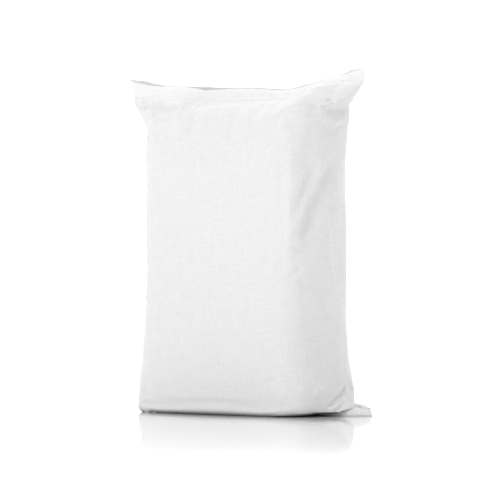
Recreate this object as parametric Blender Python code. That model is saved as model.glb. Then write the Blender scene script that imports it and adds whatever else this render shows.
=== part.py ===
"""Filled cement sack of white woven polypropylene, standing upright on its sewn bottom.

The sack is one tube of woven fabric, closed by a sewn hem at each end. Filled, its middle is a rounded
block, and both ends taper from that block to a flat seam whose corners stick out as ears. The tube is made
of rings, from the bottom seam over the floor, up the walls and in to the top stitch line. A ring is a
rounded rectangle whose height changes from the tube's two side creases to the middle of its faces. The top
hem stands up as two lips that lean back and stand apart here and there. The bottom hem is folded under the
sack and stands up only at the ears, which curl towards the back. Each seam is closed by one thread, which
runs along both faces of its hem and turns round past the hem's ends.

Metres, +Z up. X runs along the seams, -Y is the front face, and Z = 0 is the floor.
"""

import math
from collections import namedtuple

import bpy
import numpy as np

MM = 0.001

# Driving dimensions of the filled body
LEFT_HALF_WIDTH = 192 * MM
RIGHT_HALF_WIDTH = 190.5 * MM
BODY_HALF_DEPTH = 93 * MM
BODY_SQUARENESS = 4.2
SIDE_BULGE = 13 * MM
LEFT_SAG, LEFT_SAG_HEIGHT = 15 * MM, 240 * MM
RIGHT_SAG, RIGHT_SAG_HEIGHT = 20 * MM, 165 * MM
RIGHT_FOOT = 5 * MM
RIGHT_TOP = 4 * MM
DEPTH_SAG, DEPTH_SAG_HEIGHT = 9 * MM, 185 * MM
FLOOR_EDGE_RADIUS = 12 * MM
SHOULDER_HEIGHT = 468 * MM

# The side creases: where they leave the bottom ears, and how far the right one strays towards the back
CREASE_FOOT_HEIGHT = 31 * MM
CORNER_LIFT = 7 * MM
CORNER_LIFT_FADES = (10 * MM, 90 * MM)
CORNER_LIFT_START = 115 * MM
SIDE_LIFT_START = 145 * MM
DRIFT_HEIGHTS = (0, 34, 90, 172, 226, 289, 373, 430)
DRIFT = (8, 36, 55, 47, 28, 17, 6, 0)

# How far from a crease, on the fabric and in millimetres, a ring leaves the crease's height and has come to
# its middle's: at the bottom seam, at the foot, at each shoulder and at each end of the stitch line
SEAM_LEVELS = (40, 90)
FOOT_LEVELS = (0, 26)
LEFT_SHOULDER_LEVELS, RIGHT_SHOULDER_LEVELS = (60, 190), (100, 230)
LEFT_STITCH_LEVELS, RIGHT_STITCH_LEVELS = (0, 60), (0, 100)

# The top: the stitch line, and each ear as its crease's path from the shoulder to the tip, in millimetres
# from the sack's middle and from the floor
SEAM_SQUARENESS = 2.6
TOP_STITCH_HEIGHT = 570.5 * MM
TOP_HALF_THICKNESS = 1.6 * MM
SHOULDER_CLOSING = 0.85
LEFT_EAR = ((192, 500), (193, 513), (197, 525), (211, 537), (230, 549), (250, 565), (263, 582))
RIGHT_EAR = ((197, 533), (202, 550), (208, 558), (219, 562), (234, 567), (252, 580), (270, 600))
LEFT_RISE, RIGHT_RISE = 14 * MM, 31 * MM
RISE_FROM, LEFT_RISE_TO, RIGHT_RISE_TO = 70 * MM, 215 * MM, 225 * MM

# The top hem, in millimetres along it: its width, how many degrees it leans back, how much higher the back
# lip ends than the front one, and how far the two stand apart
HEM_WIDTHS = ((-277, 37), (-250, 29), (-225, 24), (-190, 25), (0, 25), (100, 22.5), (180, 23), (262, 21))
HEM_LEANS = ((-277, -4), (-235, 12), (-200, 38), (-90, 6), (0, 20), (96, 34), (190, 56), (262, 24))
LIP_STEPS = ((-245, 7), (-160, 1), (-115, 2), (-88, 7), (-74, 2), (85, 1), (125, 7), (225, 8), (250, 3))
LIP_GAPS = ((-240, 4), (-205, 1), (-120, 2), (-88, 9), (-60, 2), (70, 2), (130, 8), (225, 5), (255, 1))
LIP_BULGE = 1.2 * MM
LIP_THICKNESS = 1.2 * MM
LEFT_FLARE = 11 * MM
RIGHT_FLARE = -14 * MM

# The bottom seam: its groove under the sack, where its hem stands up, and its two ears
GROOVE_DEPTH = 1.9 * MM
GROOVE_HALF_WIDTH = 2.0 * MM
GROOVE_SLOPE = 1 * MM
HEM_STANDS_FROM = 150 * MM
HEM_STANDS_AT = 212 * MM
EAR_SEAM_HEIGHT = 22 * MM
EAR_TIP_HEIGHT = 14 * MM
EAR_ROOT_CLEARANCE = 6 * MM
EAR_TIP_CLEARANCE = 0.8 * MM
BOTTOM_EAR_TIP = 276 * MM
EAR_SHOULDER = 50 * MM
HELD_BESIDE_SEAM = (10 * MM, 45 * MM)
LEFT_EAR_BACK = 8 * MM
RIGHT_EAR_BACK = 8 * MM
CURL_START = 200 * MM
CURL_HEIGHT = 48 * MM
EAR_BEND_LEFT = 60 * MM
EAR_BEND_RIGHT = 64 * MM

# The seam threads
THREAD_RADIUS = 0.6 * MM
TOUCHING_GAP = 0.3 * MM
THREAD_TAIL = 3 * MM

# How finely the sack is faceted, and the steepest edge between two facets that is still shaded smooth
PANEL_COLUMNS = 32
WALL_RINGS = 10
SHOULDER_RINGS = 8
FLOOR_EDGE_TURNS = (30, 60, 90)
SMOOTH_EDGE = math.radians(40)

# The rings over the flat underside, as shares of its half depth
FLOOR_RINGS = (0.1, 0.2, 0.35, 0.62, 1.0)

# The rows of a top lip, up its outside and down its inside, as shares of the hem's width and of the lip's
# thickness. The thread lies on the first.
TOP_LIP_ROWS = ((0.2, 0), (0.6, 0), (0.94, 0), (1, 0.5), (0.94, 1), (0.2, 1))

# The rows up a face of the bottom hem, as shares of its height, of its thickness in the groove and on the
# ear, and of the turn at which the row comes off the groove's roof
BOTTOM_HEM_ROWS = ((0.0, 0.35, 0.75, 0.35), (0.5, 0.5, 1.0, 0.0))
BOTTOM_THREAD_ROW = 0.78

# Anything smaller counts as nothing
TINY = 1e-9

# What a ring is described by: how far it reaches to each side and to the front and back, how square it is,
# how far it lies from the bottom seam, the heights of its middle and of its two creases, its levels as
# above, and how much of the stitch line's rise it has
Ring = namedtuple(
    "Ring",
    "left right depth squareness from_seam centre left_crease right_crease left_levels right_levels rise",
)


def smooth(value, low, high):
    """0 below low, 1 above high, and an even S-curve between them."""
    t = np.clip((value - low) / (high - low), 0.0, 1.0)
    return t * t * (3 - 2 * t)


def mix(a, b, t):
    return a + (b - a) * t


def signed_power(value, exponent):
    return np.copysign(np.abs(value) ** exponent, value)


def profile(x, points):
    """A curve through points of position and value, in millimetres along x."""
    places, values = np.array(points, float).T
    return np.interp(x / MM, places, values)


def along_path(points, t):
    """A point of a path through points, in metres, for t from 0 to 1."""
    points = np.array(points, float) * MM
    place = t * (len(points) - 1)
    return [np.interp(place, np.arange(len(points)), part) for part in points.T]


def body_half_widths(z):
    """How far the filled body reaches to the left and to the right at a height."""
    left = LEFT_HALF_WIDTH + LEFT_SAG * (1 - np.clip(z / LEFT_SAG_HEIGHT, 0, 1)) ** 1.2
    right = RIGHT_HALF_WIDTH + RIGHT_SAG * (1 - smooth(z, -0.3 * RIGHT_SAG_HEIGHT, RIGHT_SAG_HEIGHT))
    right += RIGHT_FOOT * (1 - smooth(z, 15 * MM, 95 * MM)) + RIGHT_TOP * smooth(z, 360 * MM, 500 * MM)
    return left, right


def body_half_depth(z):
    return BODY_HALF_DEPTH + DEPTH_SAG * (1 - smooth(z, 0.1 * DEPTH_SAG_HEIGHT, DEPTH_SAG_HEIGHT))


def side_bulge(z):
    """How far each side swells out at a height, along the tube's crease."""
    return SIDE_BULGE * smooth(z, -40 * MM, 160 * MM) * (1 - smooth(z, 530 * MM, 575 * MM))


def stitch_rise(x):
    """How far the top stitch line lies above its middle: it is level there and steps up to each ear."""
    left = LEFT_RISE * smooth(-x, RISE_FROM, LEFT_RISE_TO)
    return left + RIGHT_RISE * smooth(x, RISE_FROM, RIGHT_RISE_TO) ** 1.1


def hem_stands(x):
    """How upright the bottom hem stands: 0 where the sack lies on it, 1 out on an ear."""
    return smooth(np.abs(x), HEM_STANDS_FROM, HEM_STANDS_AT)


def towards_tip(x):
    """How near to the tip of a bottom ear a point of its seam is."""
    return smooth(np.abs(x), BOTTOM_EAR_TIP - EAR_SHOULDER, BOTTOM_EAR_TIP)


def seam_height(x):
    """The height of the bottom seam. It lies in its groove under the sack and on edge out along the ears."""
    return mix(GROOVE_DEPTH, mix(EAR_SEAM_HEIGHT, EAR_TIP_HEIGHT, towards_tip(x)), hem_stands(x))


def hem_lower_edge(x):
    """The height of the bottom hem's lower edge out on an ear. The hem comes out above the floor, and its
    tip reaches down to it."""
    return mix(EAR_ROOT_CLEARANCE, EAR_TIP_CLEARANCE, towards_tip(x))


def ear_back(x):
    """How far towards the back a bottom ear leaves the sack."""
    back = np.where(x < 0, LEFT_EAR_BACK, RIGHT_EAR_BACK)
    return back * smooth(np.abs(x), 0.75 * CURL_START, CURL_START)


def curl_ears(points):
    """Curls the bottom ears towards the back, round an upright axis beside the sack."""
    x, y, z = np.abs(points[..., 0]), points[..., 1], points[..., 2]
    reach = np.maximum(x - CURL_START, 0.0)
    radius = np.where(points[..., 0] < 0, EAR_BEND_LEFT, EAR_BEND_RIGHT)
    angle = reach / radius * (1 - smooth(z, CURL_HEIGHT, 3 * CURL_HEIGHT))
    safe = np.maximum(angle, TINY)
    curled_x = CURL_START + reach * np.sin(safe) / safe - y * np.sin(angle)
    curled_y = reach * (1 - np.cos(safe)) / safe + y * np.cos(angle)
    turned = np.stack((np.copysign(curled_x, points[..., 0]), curled_y, z), -1)
    return np.where((angle > TINY)[..., None], turned, points)


def levels_between(start, end, near_share, far_share):
    """A ring's levels in metres, between those of two places."""
    return mix(start[0], end[0], near_share) * MM, mix(start[1], end[1], far_share) * MM


def bottom_rings():
    """Rings from the bottom seam, over the floor and round the sack's bottom edge. They reach out to the
    ears' tips at the seam, and draw in to the body's sides with each ring."""
    flat_depth = body_half_depth(0) - FLOOR_EDGE_RADIUS
    places = [(GROOVE_HALF_WIDTH, 0.0), (GROOVE_HALF_WIDTH + GROOVE_SLOPE, 0.0)]
    places += [(share * flat_depth, 0.0) for share in FLOOR_RINGS]
    places += [(flat_depth, math.radians(degrees)) for degrees in FLOOR_EDGE_TURNS]
    left, right = body_half_widths(0.0)
    whole = flat_depth + 0.5 * math.pi * FLOOR_EDGE_RADIUS - GROOVE_HALF_WIDTH
    rings = []
    for flat, turn in places:
        out = flat + FLOOR_EDGE_RADIUS * turn - GROOVE_HALF_WIDTH
        along = out / whole
        crease = mix(EAR_TIP_HEIGHT, CREASE_FOOT_HEIGHT, 1 - (1 - along) ** 5)
        levels = levels_between(SEAM_LEVELS, FOOT_LEVELS, along**0.5, along**0.5)
        rings.append(
            Ring(
                left=mix(left, BOTTOM_EAR_TIP, (1 - along) ** 4),
                right=mix(right, BOTTOM_EAR_TIP, (1 - along) ** 4),
                depth=flat + FLOOR_EDGE_RADIUS * math.sin(turn),
                squareness=mix(SEAM_SQUARENESS, BODY_SQUARENESS, along),
                from_seam=out,
                centre=FLOOR_EDGE_RADIUS * (1 - math.cos(turn)),
                left_crease=crease,
                right_crease=crease,
                left_levels=levels,
                right_levels=levels,
                rise=0.0,
            )
        )
    return rings


def wall_rings():
    """Rings up the filled middle. They start higher at the creases and level out further up."""
    rings = []
    for t in np.linspace(0, 1, WALL_RINGS + 1)[1:]:
        centre = mix(FLOOR_EDGE_RADIUS, SHOULDER_HEIGHT, t)
        left, right = body_half_widths(centre)
        rings.append(
            Ring(
                left=left,
                right=right,
                depth=body_half_depth(centre),
                squareness=BODY_SQUARENESS,
                from_seam=BODY_HALF_DEPTH + centre,
                centre=centre,
                left_crease=mix(CREASE_FOOT_HEIGHT, LEFT_EAR[0][1] * MM, t),
                right_crease=mix(CREASE_FOOT_HEIGHT, RIGHT_EAR[0][1] * MM, t),
                left_levels=levels_between(FOOT_LEVELS, LEFT_SHOULDER_LEVELS, t**3, t),
                right_levels=levels_between(FOOT_LEVELS, RIGHT_SHOULDER_LEVELS, t**3, t),
                rise=0.0,
            )
        )
    return rings


def shoulder_rings():
    """Rings from the shoulder up to the top stitch line, where the tube is pressed flat."""
    rings = []
    for t in np.linspace(0, 1, SHOULDER_RINGS + 1)[1:]:
        left, left_crease = along_path(LEFT_EAR, t)
        right, right_crease = along_path(RIGHT_EAR, t)
        closing = max(math.cos(0.5 * math.pi * t), 0.0) ** SHOULDER_CLOSING
        centre = mix(SHOULDER_HEIGHT, TOP_STITCH_HEIGHT, math.sin(0.5 * math.pi * t) ** 0.9)
        rings.append(
            Ring(
                left=left,
                right=right,
                depth=mix(TOP_HALF_THICKNESS, BODY_HALF_DEPTH, closing),
                squareness=mix(BODY_SQUARENESS, SEAM_SQUARENESS, t),
                from_seam=BODY_HALF_DEPTH + centre,
                centre=centre,
                left_crease=left_crease,
                right_crease=right_crease,
                left_levels=levels_between(LEFT_SHOULDER_LEVELS, LEFT_STITCH_LEVELS, t, t),
                right_levels=levels_between(RIGHT_SHOULDER_LEVELS, RIGHT_STITCH_LEVELS, t, t),
                rise=t**0.7,
            )
        )
    return rings


def ring_points(ring):
    """Points round a ring, evenly spaced on the fabric, from the left crease by the front to the right one
    and back."""
    angle = np.linspace(math.pi, 3 * math.pi, 1441)
    unit_x = signed_power(np.cos(angle), 2 / ring.squareness)
    unit_y = signed_power(np.sin(angle), 2 / ring.squareness)
    x = unit_x * np.where(unit_x < 0, ring.left, ring.right)
    x += np.sign(unit_x) * side_bulge(ring.centre) * (1 - np.abs(unit_y)) ** 2
    y = unit_y * ring.depth
    along = np.concatenate(([0.0], np.cumsum(np.hypot(np.diff(x), np.diff(y)))))
    half = 0.5 * along[-1]
    turn = np.arange(2 * PANEL_COLUMNS) / PANEL_COLUMNS
    x, y = np.interp(turn * half, along, x), np.interp(turn * half, along, y)
    drift = np.interp(ring.centre / MM, DRIFT_HEIGHTS, DRIFT) * MM
    drift *= smooth(ring.depth, 0.2 * BODY_HALF_DEPTH, 0.9 * BODY_HALF_DEPTH)
    from_left = np.minimum(turn, 2 - turn) * half
    from_right = np.abs((turn - 1) * half - drift)
    from_crease = np.minimum(from_left, from_right)
    to_left = from_left < from_right
    crease = np.where(to_left, ring.left_crease, ring.right_crease)
    near = np.where(to_left, ring.left_levels[0], ring.right_levels[0])
    far = np.where(to_left, ring.left_levels[1], ring.right_levels[1])
    z = mix(crease, ring.centre + stitch_rise(x) * ring.rise, smooth(from_crease, near, far))
    corner = smooth(np.abs(y), 0.5 * BODY_HALF_DEPTH, 0.95 * BODY_HALF_DEPTH)
    lift_start = mix(SIDE_LIFT_START, CORNER_LIFT_START, corner)
    z += CORNER_LIFT * smooth(np.abs(x), lift_start, LEFT_HALF_WIDTH) * (1 - smooth(z, *CORNER_LIFT_FADES))
    beside_seam = 1 - smooth(ring.from_seam, *HELD_BESIDE_SEAM)
    z = np.maximum(z, (seam_height(x) - GROOVE_DEPTH) * beside_seam)
    if ring.centre < CURL_HEIGHT:
        y = y + ear_back(x) * (1 - smooth(ring.depth, 0.15 * BODY_HALF_DEPTH, 0.85 * BODY_HALF_DEPTH))
    return np.stack((x, y, z), -1)


def tube_rows():
    """The rows of the tube from the bottom seam up to the top stitch line."""
    rows = [ring_points(ring) for ring in bottom_rings() + wall_rings() + shoulder_rings()]
    rows[0][:, 2] = seam_height(rows[0][:, 0])
    rows[-1][:, 2] = TOP_STITCH_HEIGHT + stitch_rise(rows[-1][:, 0])
    for crease in (0, PANEL_COLUMNS):
        rows[0][crease, 1] = ear_back(rows[0][crease, 0])
        rows[-1][crease, 1] = 0.0
    return rows


def top_lip_row(stitch_row, up, inward, outside=0.0):
    """A row of both top lips. Up and inward are shares of the hem's width and of the lip's thickness, and
    outside is how far off the fabric the row lies."""
    x, side = stitch_row[:, 0], np.sign(stitch_row[:, 1])
    tip = np.abs(x).max()
    shut = 1 - (np.abs(x) / tip) ** 12
    rise = up * (profile(x, HEM_WIDTHS) + 0.5 * side * profile(x, LIP_STEPS) * shut) * MM
    parting = 0.5 * profile(x, LIP_GAPS) * MM * shut * mix(up, up**2.5, 0.65)
    apart = np.abs(stitch_row[:, 1]) + parting + LIP_BULGE * math.sin(math.pi * up) - LIP_THICKNESS * inward
    apart = side * (np.maximum(apart, 0.5 * TOUCHING_GAP) + outside)
    bend = np.radians(profile(x, HEM_LEANS)) * mix(0.55, 1.0, up)
    flare = np.where(x < 0, LEFT_FLARE, RIGHT_FLARE) * smooth(np.abs(x), 0.86 * tip, tip)
    out = flare * up**1.4 - LIP_THICKNESS * inward * (1 - shut)
    y = rise * np.sin(bend) + apart * np.cos(bend)
    z = stitch_row[:, 2] + rise * np.cos(bend) - apart * np.sin(bend)
    return np.stack((x + out * np.sign(x), y, z), -1)


def bottom_hem_row(seam_row, up, in_groove, on_ear, leaves_roof):
    """A row of both faces of the bottom hem. Out on the ears the hem stands on its edge, and under the sack
    it is the roof of the thread's groove."""
    x, middle = seam_row[:, 0], ear_back(seam_row[:, 0])
    stands = hem_stands(x)
    height = mix(GROOVE_DEPTH, mix(hem_lower_edge(x), seam_row[:, 2], up), smooth(stands, leaves_roof, 1.0))
    return np.stack((x, middle + (seam_row[:, 1] - middle) * mix(in_groove, on_ear, stands), height), -1)


def tube_faces(rows, columns):
    """Quads that join each row of a tube to the next, counted so that they face outwards."""
    faces = []
    for row in range(rows - 1):
        for i in range(columns):
            low, high = row * columns, (row + 1) * columns
            j = (i + 1) % columns
            faces.append((low + i, low + j, high + j, high + i))
    return faces


def slit_faces(first, columns):
    """Faces that close a flattened row: they join each front vertex to the back vertex across from it."""
    faces = []
    for i in range(columns // 2):
        quad = [first + i, first + i + 1, first + columns - i - 1, first + (columns - i) % columns]
        faces.append(list(dict.fromkeys(quad)))
    return faces


def filled_sack(rows, material):
    seam, stitch = rows[0], rows[-1]
    hem = [bottom_hem_row(seam, *shares) for shares in BOTTOM_HEM_ROWS]
    lips = [top_lip_row(stitch, *shares) for shares in TOP_LIP_ROWS]
    points = np.concatenate([curl_ears(row) for row in hem + rows + lips])
    columns = 2 * PANEL_COLUMNS
    faces = tube_faces(len(points) // columns, columns)
    faces += [face[::-1] for face in slit_faces(0, columns)]
    faces += slit_faces(len(points) - columns, columns)
    data = bpy.data.meshes.new("filled_sack")
    data.from_pydata(points.tolist(), [], faces)
    data.shade_smooth()
    data.set_sharp_from_angle(angle=SMOOTH_EDGE)
    data.materials.append(material)
    bpy.context.scene.collection.objects.link(bpy.data.objects.new("filled_sack", data))


def bottom_thread_row(seam_row):
    """The thread's centre on both faces of the bottom hem. It lies in the groove under the sack, and climbs
    the upright hem out on the ears."""
    x, middle = seam_row[:, 0], ear_back(seam_row[:, 0])
    stands = hem_stands(x)
    half = seam_row[:, 1] - middle
    on_hem = np.abs(half) + TOUCHING_GAP + THREAD_RADIUS
    on_ear = mix(hem_lower_edge(x), seam_row[:, 2], BOTTOM_THREAD_ROW)
    y = middle + np.sign(half) * mix(0.5 * GROOVE_HALF_WIDTH, on_hem, smooth(stands, 0.0, 0.3))
    z = mix(TOUCHING_GAP + THREAD_RADIUS, on_ear, smooth(stands, 0.3, 1.0))
    return np.stack((x, y, z), -1)


def seam_thread(name, row, material):
    """One closed loop of thread: along the hem's front face, round past its end, and along its back face. It
    has a point at each column of the hem, so both bend alike."""
    points = []
    for i, end in enumerate(row):
        if i % PANEL_COLUMNS:
            points.append(end)
            continue
        for ahead, near in ((0.7, row[i - 1]), (1.0, end), (0.7, row[i + 1])):
            out = math.copysign(ahead * THREAD_TAIL, end[0])
            points.append(end + (out, 0.9 * (near[1] - end[1]), 0.0))
    curve = bpy.data.curves.new(name, "CURVE")
    curve.dimensions = "3D"
    curve.twist_mode = "Z_UP"
    curve.bevel_depth = THREAD_RADIUS
    curve.bevel_resolution = 1
    spline = curve.splines.new("POLY")
    spline.points.add(len(points) - 1)
    spline.use_cyclic_u = True
    for spot, point in zip(spline.points, curl_ears(np.array(points))):
        spot.co = (*point, 1)
    curve.materials.append(material)
    bpy.context.scene.collection.objects.link(bpy.data.objects.new(name, curve))


def principled(name, colour, roughness):
    material = bpy.data.materials.new(name)
    material.use_nodes = True
    shader = material.node_tree.nodes["Principled BSDF"]
    shader.inputs["Base Color"].default_value = (*colour, 1)
    shader.inputs["Roughness"].default_value = roughness
    shader.inputs["Metallic"].default_value = 0
    return material


def main():
    for old in list(bpy.data.objects):
        bpy.data.objects.remove(old)
    woven = principled("woven_polypropylene", (0.86, 0.86, 0.86), 0.5)
    thread = principled("polyester_thread", (0.9, 0.9, 0.88), 0.7)
    rows = tube_rows()
    filled_sack(rows, woven)
    top_row = top_lip_row(rows[-1], *TOP_LIP_ROWS[0], outside=TOUCHING_GAP + THREAD_RADIUS)
    seam_thread("top_seam_thread", top_row, thread)
    seam_thread("bottom_seam_thread", bottom_thread_row(rows[0]), thread)


main()
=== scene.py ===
"""The looks of a filled cement sack: one tube of woven polypropylene, sewn shut along both hems.

The tube is a grid of rows, from the bottom seam to the top stitch line, and of columns, once round from the
left crease by the front to the right crease and back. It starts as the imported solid's shape, is draped over
the powder as cloth, and then gets the folds that a full sack has. Metres, +Z up, -Y is the front face.
"""

import math

import bpy
import numpy as np
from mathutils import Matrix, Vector


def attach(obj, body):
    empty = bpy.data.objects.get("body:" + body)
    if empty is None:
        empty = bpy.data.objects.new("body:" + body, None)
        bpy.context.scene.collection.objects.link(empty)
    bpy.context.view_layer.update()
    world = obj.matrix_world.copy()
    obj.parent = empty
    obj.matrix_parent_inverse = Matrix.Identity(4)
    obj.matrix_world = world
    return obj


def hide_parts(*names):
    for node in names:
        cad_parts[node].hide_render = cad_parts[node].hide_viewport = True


bl_info = {
    "name": "Filled cement sack",
    "version": (1, 0, 0),
    "blender": (4, 5, 0),
    "location": "3D View > Sidebar > Cement sack",
    "description": "Builds a filled sack of woven polypropylene with sewn hems around its packed solids",
    "category": "Add Mesh",
}

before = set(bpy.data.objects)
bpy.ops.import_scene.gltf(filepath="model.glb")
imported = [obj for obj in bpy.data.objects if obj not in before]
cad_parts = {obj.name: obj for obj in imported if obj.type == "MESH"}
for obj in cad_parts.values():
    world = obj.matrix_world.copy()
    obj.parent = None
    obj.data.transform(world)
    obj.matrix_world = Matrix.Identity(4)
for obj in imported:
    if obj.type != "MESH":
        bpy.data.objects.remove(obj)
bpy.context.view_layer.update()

MM = 0.001

# The filled body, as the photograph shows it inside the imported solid's box
LEFT_HALF_WIDTH = 192 * MM
RIGHT_HALF_WIDTH = 190.5 * MM
BODY_HALF_DEPTH = 93 * MM
BODY_SQUARENESS = 4.8
LEFT_SAG, LEFT_SAG_HEIGHT = 15 * MM, 240 * MM
RIGHT_SAG, RIGHT_SAG_HEIGHT = 20 * MM, 165 * MM
DEPTH_SAG, DEPTH_SAG_HEIGHT = 9 * MM, 185 * MM
RIGHT_FOOT = 5 * MM
RIGHT_TOP = 4 * MM
FLOOR_EDGE_RADIUS = 12 * MM
SHOULDER_HEIGHT = 482 * MM

# The top: the stitch line, how far it rises to either side and over which stretch, and the two ears, each
# as its side crease's path from the shoulder to its tip
SEAM_SQUARENESS = 2.6
TOP_STITCH_HEIGHT = 570.5 * MM
TOP_HALF_THICKNESS = 1.6 * MM
LEFT_RISE, RIGHT_RISE = 14 * MM, 31 * MM
RISE_FROM, LEFT_RISE_TO, RIGHT_RISE_TO = 70 * MM, 215 * MM, 225 * MM
LEFT_EAR = ((192, 500), (193, 513), (197, 525), (211, 537), (230, 549), (250, 565), (263, 582))
RIGHT_EAR = ((197, 533), (202, 550), (208, 558), (219, 562), (234, 567), (252, 580), (270, 600))

# The hem above the stitch line, by how far along it, in millimetres: its width, how many degrees it leans
# back, how much further the back lip reaches than the front one, and how far the two stand apart. Then how
# far its two ends flare, how thick a lip is, and how far it bulges
HEM_WIDTHS = (
    (-277, 37), (-250, 29), (-225, 24), (-190, 25), (0, 25), (100, 21.5), (180, 20.5), (225, 20), (262, 21),
)
HEM_LEANS = ((-277, -4), (-235, 12), (-200, 38), (-90, 6), (0, 20), (96, 34), (190, 56), (262, 24))
LIP_STEPS = (
    (-270, 5), (-245, 9), (-228, 7), (-205, 5), (-160, 3), (-115, 4), (-88, 8), (-70, 5), (-40, 3), (30, 4),
    (85, 6), (125, 14), (175, 19), (225, 17), (250, 6),
)
LIP_GAPS = (
    (-265, 2), (-240, 4), (-205, 1), (-120, 2), (-88, 9), (-60, 2), (70, 2), (130, 5), (180, 4), (225, 4),
    (255, 1),
)
LEFT_FLARE, RIGHT_FLARE = 11 * MM, -9 * MM
LIP_THICKNESS = 0.9 * MM
LIP_BULGE = 1.2 * MM

# The bottom: the seam in its groove under the sack, where its hem stands up, and its two ears, which curl
# towards the back round upright axes beside the sack
GROOVE_DEPTH = 1.9 * MM
GROOVE_HALF_WIDTH = 2.0 * MM
HEM_SPAN = 24 * MM
HEM_STANDS_FROM = 150 * MM
HEM_STANDS_AT = 212 * MM
EAR_SEAM_HEIGHT = 22 * MM
EAR_TIP_HEIGHT = 14 * MM
BOTTOM_EAR_TIP = 276 * MM
EAR_SHOULDER = 50 * MM
HELD_BESIDE_SEAM = (10 * MM, 45 * MM)
EAR_BACK = 8 * MM
CURL_START = 200 * MM
CURL_HEIGHT = 48 * MM
EAR_BEND_LEFT, EAR_BEND_RIGHT = 60 * MM, 64 * MM
CREASE_FOOT_HEIGHT = 31 * MM
HEM_FLARE = 7 * MM

# How far the bottom's corners lift off the floor, up to which height, and from where along the front and
# back and along the sides
LEFT_CORNER_LIFT, RIGHT_CORNER_LIFT = 3 * MM, 7 * MM
CORNER_LIFT_FADES = (10 * MM, 90 * MM)
CORNER_LIFT_START = 115 * MM
SIDE_LIFT_START = 145 * MM

# How far the right crease has wandered towards the back of the side, by the height in millimetres: it
# leaves the bottom ear along the sack's back corner and comes forward to the side's middle above the kink
CREASE_DRIFT = (
    (0, 8), (34, 36), (90, 46), (143, 38), (172, 24), (226, 3), (289, -12), (373, -20), (430, -12),
    (480, 0),
)

# How far from a crease, on the fabric and in millimetres, a ring leaves the crease's height and has come to
# its middle's: at the bottom seam, at the foot, at each shoulder and at each end of the stitch line
SEAM_LEVELS = (40, 90)
FOOT_LEVELS = (0, 26)
LEFT_SHOULDER_LEVELS, RIGHT_SHOULDER_LEVELS = (60, 190), (100, 230)
LEFT_STITCH_LEVELS, RIGHT_STITCH_LEVELS = (0, 60), (0, 100)

# The rows of the finished tube from the bottom seam up that reach past an ear, how many times the fabric
# there is evened out, in how many of these the creases move too, and how far it droops outwards and down
# each time
EAR_ROWS = 60
EAR_PASSES, CREASE_PASSES = 330, 8
EAR_DROOP = (0.06 * MM, 0.14 * MM)

# How many rows to either side of the top stitching are padded out, and how many times they are evened out
PADDED_ROWS = 6
PADDING_PASSES = 6

# The height of the small uneven forms: the gathers at the stitching, the waves that hang below it, the soft
# hollows all over, the crumples of the ears and the sharp edge along the right crease
GATHER_HEIGHT = 1.8 * MM
WAVE_HEIGHT = 0.9 * MM
HOLLOW_DEPTH = 0.8 * MM
CRUMPLE_HEIGHT = 1.8 * MM
CREASE_EDGE = 0.8 * MM

# The sewing thread, how far it lifts off the fabric in the middle of a stitch, how many sides it has, and
# in how many rings a stitch is drawn
THREAD_RADIUS = 0.6 * MM
THREAD_LIFT = 0.7 * MM
THREAD_SIDES = 6
STITCH_RINGS = 8

# The mesh: columns across one panel of the draped tube and of the finished one, the rows' spacing, the rows
# of the bottom hem below its seam, and those of the top lips above theirs, with the one along the cut edge
DRAPE_COLUMNS = 68
DRAPE_ROW_STEP = 8 * MM
FINE_COLUMNS = 136
FINE_ROW_STEP = 4 * MM
CREASE_COLUMNS = (0.25, 0.5)
HEM_ROW_COUNT = 4
LIP_ROW_COUNT = 19
LIP_EDGE_ROW = 9

# The draping: how much longer loose fabric is than the shape that it starts in, the air that swells it, how
# many frames it settles for, and the furthest that a point may move
SLACK_SHARE = 0.06
DRAPE_PRESSURE = 0.3
DRAPE_FRAMES = 40
DRAPE_LIMIT = 16 * MM

# The map that the weave reads: one unit of it is this much fabric. The faces that close the two slits lie
# above the fabric, one strip over the other
MAP_NAME = "OFBake"
MAP_SPAN = 1.2
MAP_MARGIN = 10 * MM
SLIT_ON_MAP, SLITS_APART = 4 * MM, 15 * MM

# The fabric's shades, as shares of its colour: the darkest tape, the gaps between the tapes, the weft's
# painted lower sheen, the painted shade inside the lips, and the two whiter ones, the painted highlight along
# the right crease and the hems, which are whiter partly as empty fabric and partly by painted light. The
# tapes stand out by less than 0.1 mm, and their relief is drawn twice as deep so that it shows
TAPE_SHADE, GAP_SHADE, WEFT_PAINTED_SHEEN, INSIDE_PAINTED_SHADE = 0.93, 0.86, 0.95, 0.8
CREASE_HIGHLIGHT, EMPTY_AND_LIT_WHITE = 1.14, 1.1
TAPE_RELIEF = 0.2 * MM

# The painted crease highlight's half width, and where it comes and goes on the map, as do the hems' paler
# zones
HIGHLIGHT_HALF_WIDTH = 1.6 * MM
CREASE_STARTS, CREASE_ENDS = (0.17, 0.23), (0.375, 0.388)
BOTTOM_HEM_FADES, TOP_HEM_FADES = 0.012, 0.02

TINY = 1e-9


class SackSettings(bpy.types.PropertyGroup):
    """Sizes of the sack's fabric"""

    flat_width: bpy.props.FloatProperty(
        name="Flat width", description="Width of the empty tube, laid flat", default=0.55, unit="LENGTH"
    )


class WeaveSettings(bpy.types.PropertyGroup):
    """Weave and colours of the fabric"""

    tape_pitch: bpy.props.FloatProperty(
        name="Tape pitch", description="Distance from one tape to the next", default=0.0023, unit="LENGTH"
    )
    even_length: bpy.props.FloatProperty(
        name="Even length", description="Over how many crossings a tape keeps its shade", default=7.0
    )
    fabric_colour: bpy.props.StringProperty(
        name="Fabric colour", description="sRGB hex value of the fabric", default="#E8E8E8"
    )
    stitch_length: bpy.props.FloatProperty(
        name="Stitch length", description="From one stitch to the next", default=0.010, unit="LENGTH"
    )
    thread_colour: bpy.props.StringProperty(
        name="Thread colour", description="sRGB hex value of the thread", default="#EFEFEC"
    )


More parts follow.
